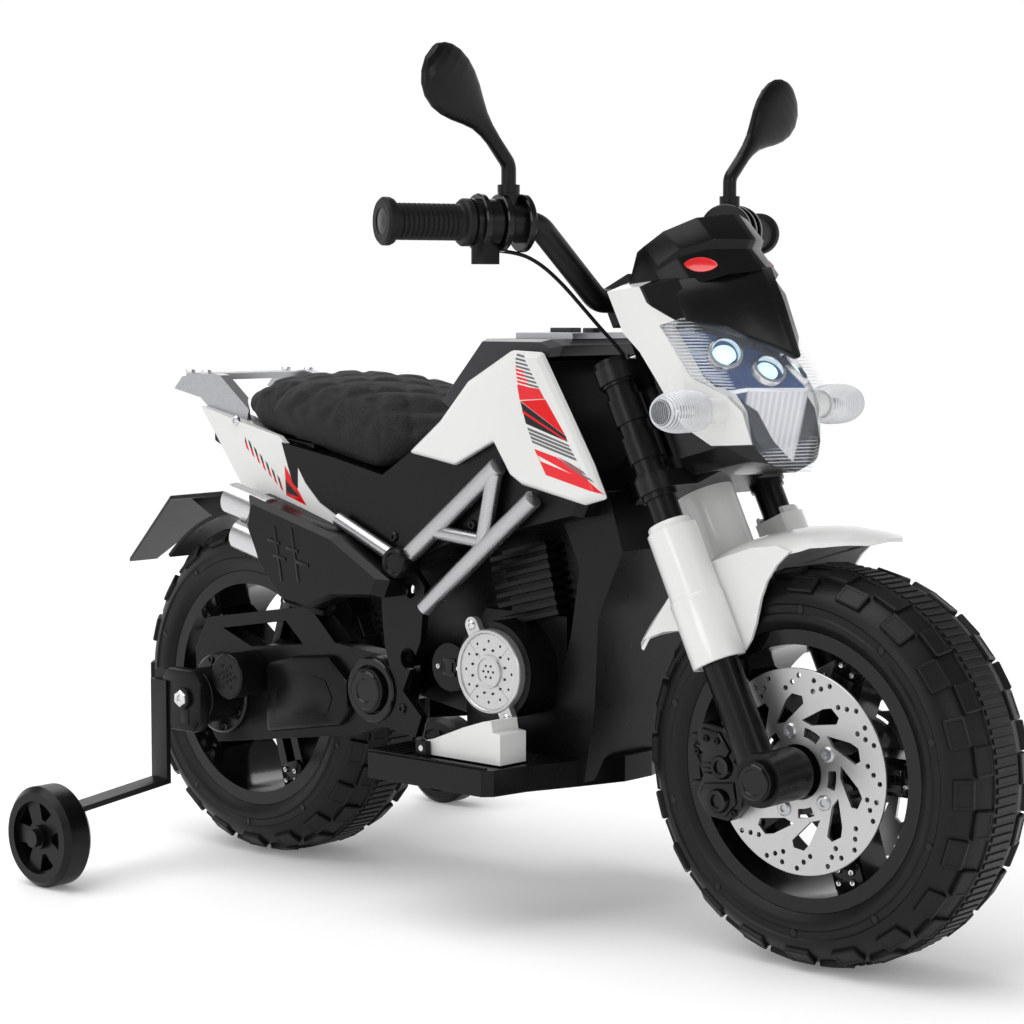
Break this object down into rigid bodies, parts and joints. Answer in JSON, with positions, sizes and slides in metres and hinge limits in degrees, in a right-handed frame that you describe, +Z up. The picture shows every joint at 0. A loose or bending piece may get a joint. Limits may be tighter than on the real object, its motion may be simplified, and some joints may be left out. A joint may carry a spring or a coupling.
{
  "type": "kids electric motorbike",
  "caption": "Child's battery motorbike with stabiliser wheels: steered front fork and headlight, quilted seat, twist grip, foot pedal, luggage rack and a geared rear wheel.",
  "frame": {"origin": "on the ground under the middle of the bike's length and width", "axes": "+X forward, +Y to the rider's left, +Z up"},
  "size_m": [1.015, 0.5606, 0.7273],
  "materials": {
    "black_plastic": "satin moulded black",
    "white_plastic": "gloss white",
    "grey_plastic": "dark grey gloss",
    "silver_plastic": "silver painted plastic",
    "tyre_plastic": "hard black tyre",
    "seat_fabric": "quilted mesh",
    "steel": "brushed",
    "black_steel": "black powder coat",
    "bright_tip": "polished",
    "lens_clear": "clear",
    "lamp_glow": "lit",
    "signal_clear": "ribbed clear",
    "mirror_glass": "silvered",
    "grip_rubber": "ribbed",
    "lead_black": "sheathed",
    "gear_plastic": "natural nylon",
    "battery_case": "sealed case"
  },
  "bodies": {
    "chassis": {"main_frame": "black_steel", "body_shells": "black_plastic", "tank_covers": "white_plastic", "tank_top": "grey_plastic", "console_panel": "silver_plastic", "seat_cushion": "seat_fabric", "tail_core": "black_plastic", "tail_panels": "white_plastic", "rear_rack": "silver_plastic", "rear_fender": "black_plastic", "swingarm": "black_plastic", "pivot_shaft": "steel", "pivot_plates": "black_plastic", "trellis_tubes": "silver_plastic", "silencer": "black_plastic", "silencer_tips": "bright_tip", "engine_block": "black_plastic", "clutch_cover": "silver_plastic", "charge_socket": "black_plastic", "footboard": "black_plastic", "gearbox_housing": "black_plastic", "drive_motor": "black_plastic", "rear_axle": "steel", "stabiliser_struts": "black_steel", "battery": "battery_case", "shock_bodies": "black_plastic", "shock_springs": "black_steel"},
    "steering": {"steering_stem": "black_steel", "fork_legs": "black_plastic", "front_axle": "steel", "brake_calipers": "black_plastic", "front_fender": "white_plastic", "handlebar": "black_steel", "left_grip": "grip_rubber", "bar_fittings": "black_plastic", "headlight_housing": "black_plastic", "headlight_cowls": "white_plastic", "headlight_lens": "lens_clear", "headlight_visor": "black_plastic", "headlight_lamps": "lamp_glow", "headlight_hood": "black_plastic", "turn_signals": "signal_clear", "throttle_lead": "lead_black"},
    "front_wheel": {"front_tyre": "tyre_plastic", "front_rim": "black_plastic", "brake_discs": "steel"},
    "rear_wheel": {"rear_tyre": "tyre_plastic", "rear_rim": "black_plastic", "drive_gear": "gear_plastic"},
    "stabiliser_right": {"stabiliser_wheel_right": "black_plastic"},
    "stabiliser_left": {"stabiliser_wheel_left": "black_plastic"},
    "pinion": {"motor_pinion": "gear_plastic"},
    "throttle": {"throttle_grip": "grip_rubber"},
    "pedal": {"foot_pedal": "white_plastic"},
    "mirror_right_body": {"mirror_right": "black_plastic", "mirror_glass_right": "mirror_glass"},
    "mirror_left_body": {"mirror_left": "black_plastic", "mirror_glass_left": "mirror_glass"},
    "button": {"power_button": "grey_plastic"},
    "rocker": {"direction_rocker": "grey_plastic"}
  },
  "joints": [
    {"name": "steering_turn", "type": "hinge", "parent": "chassis", "child": "steering", "pos_m": [0.32229, 0, 0.14781], "axis": [-0.4352, 0, 0.9003], "range_deg": [-25, 25]},
    {"name": "front_wheel_spin", "type": "hinge", "parent": "steering", "child": "front_wheel", "pos_m": [0.3475, 0, 0.16], "axis": [0, 1, 0], "continuous": true},
    {"name": "rear_wheel_spin", "type": "hinge", "parent": "chassis", "child": "rear_wheel", "pos_m": [-0.2925, 0, 0.16], "axis": [0, 1, 0], "continuous": true},
    {"name": "motor_pinion_spin", "type": "hinge", "parent": "chassis", "child": "pinion", "pos_m": [-0.24946, 0, 0.18289], "axis": [0, 1, 0], "continuous": true},
    {"name": "stabiliser_right_spin", "type": "hinge", "parent": "chassis", "child": "stabiliser_right", "pos_m": [-0.3285, -0.26, 0.046], "axis": [0, 1, 0], "continuous": true},
    {"name": "stabiliser_left_spin", "type": "hinge", "parent": "chassis", "child": "stabiliser_left", "pos_m": [-0.3285, 0.26, 0.046], "axis": [0, 1, 0], "continuous": true},
    {"name": "throttle_twist", "type": "hinge", "parent": "steering", "child": "throttle", "pos_m": [0.08862, -0.243, 0.58975], "axis": [-0.3819, -0.9242, 0], "range_deg": [0, 60], "stiffness_Nm_per_rad": 0.15},
    {"name": "pedal_press", "type": "hinge", "parent": "chassis", "child": "pedal", "pos_m": [0.0215, -0.114, 0.1515], "axis": [0, 1, 0], "range_deg": [0, 8], "stiffness_Nm_per_rad": 4, "springref_deg": -2.86},
    {"name": "mirror_right_turn", "type": "hinge", "parent": "steering", "child": "mirror_right_body", "pos_m": [0.12903, -0.14522, 0.58975], "axis": [0, 0, 1], "range_deg": [-25, 25]},
    {"name": "mirror_left_turn", "type": "hinge", "parent": "steering", "child": "mirror_left_body", "pos_m": [0.12903, 0.14522, 0.58975], "axis": [0, 0, 1], "range_deg": [-25, 25]},
    {"name": "power_press", "type": "slide", "parent": "chassis", "child": "button", "axis": [0, 0, -1], "range_m": [0, 0.002], "stiffness_N_per_m": 800, "springref_m": -0.001},
    {"name": "direction_rock", "type": "hinge", "parent": "chassis", "child": "rocker", "pos_m": [0.0635, 0, 0.4985], "axis": [0, 1, 0], "range_deg": [-8, 8]}
  ],
  "couplings": [
    {"joint": "motor_pinion_spin", "follows": "rear_wheel_spin", "ratio": -5.5}
  ]
}
